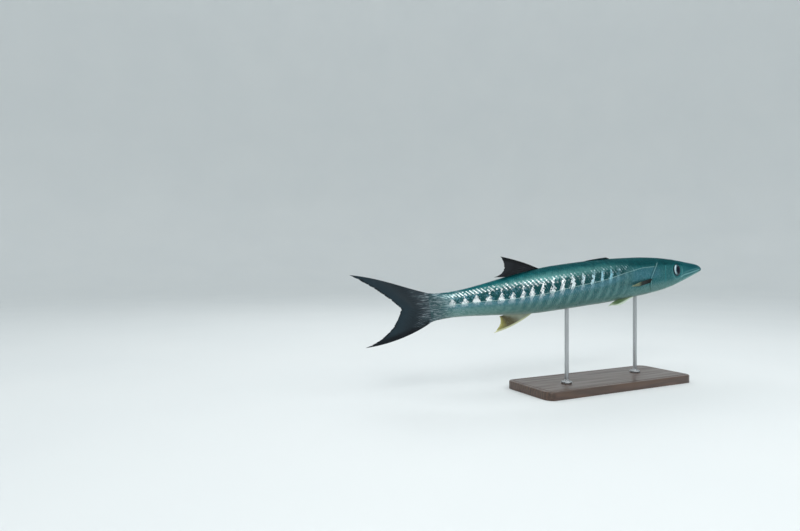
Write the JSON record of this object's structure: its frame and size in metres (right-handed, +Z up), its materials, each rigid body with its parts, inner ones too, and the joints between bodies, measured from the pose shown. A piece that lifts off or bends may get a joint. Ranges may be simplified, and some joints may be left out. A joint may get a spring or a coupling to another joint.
{
  "type": "barracuda",
  "caption": "Life-size blackfin barracuda in a swimming pose with its tail swung to its left, held above a plain wooden base by slim steel rods.",
  "frame": {"origin": "centre of the underside of the stand's base", "axes": "+X towards the fish's head, +Y to its left, +Z up"},
  "size_m": [0.9791, 0.1919, 0.3002],
  "materials": {
    "skin": "wet silver scales with dark bars above, dark green back, pale belly",
    "dark_fin": "thin dusky fin membrane over fine rays",
    "pale_fin": "thin olive yellow fin membrane over fine rays, with a pale edge",
    "eye": "clear cornea over a silver ring and a dark pupil",
    "base_wood": "dark oiled hardwood",
    "rod_steel": "brushed along its length"
  },
  "bodies": {
    "root": {"anal_fin": "pale_fin", "dorsal_fin_first": "dark_fin", "dorsal_fin_second": "dark_fin", "eye_left": "eye", "eye_right": "eye", "gill_cover_left": "skin", "gill_cover_right": "skin", "head": "skin", "lower_jaw": "skin", "pectoral_fin_left": "pale_fin", "pectoral_fin_right": "pale_fin", "pelvic_fin_left": "pale_fin", "pelvic_fin_right": "pale_fin", "stand_base": "base_wood", "stand_rod_front": "rod_steel", "stand_rod_rear": "rod_steel", "tail": "skin", "tail_fin": "dark_fin", "trunk_front": "skin", "trunk_rear": "skin"}
  },
  "joints": []
}
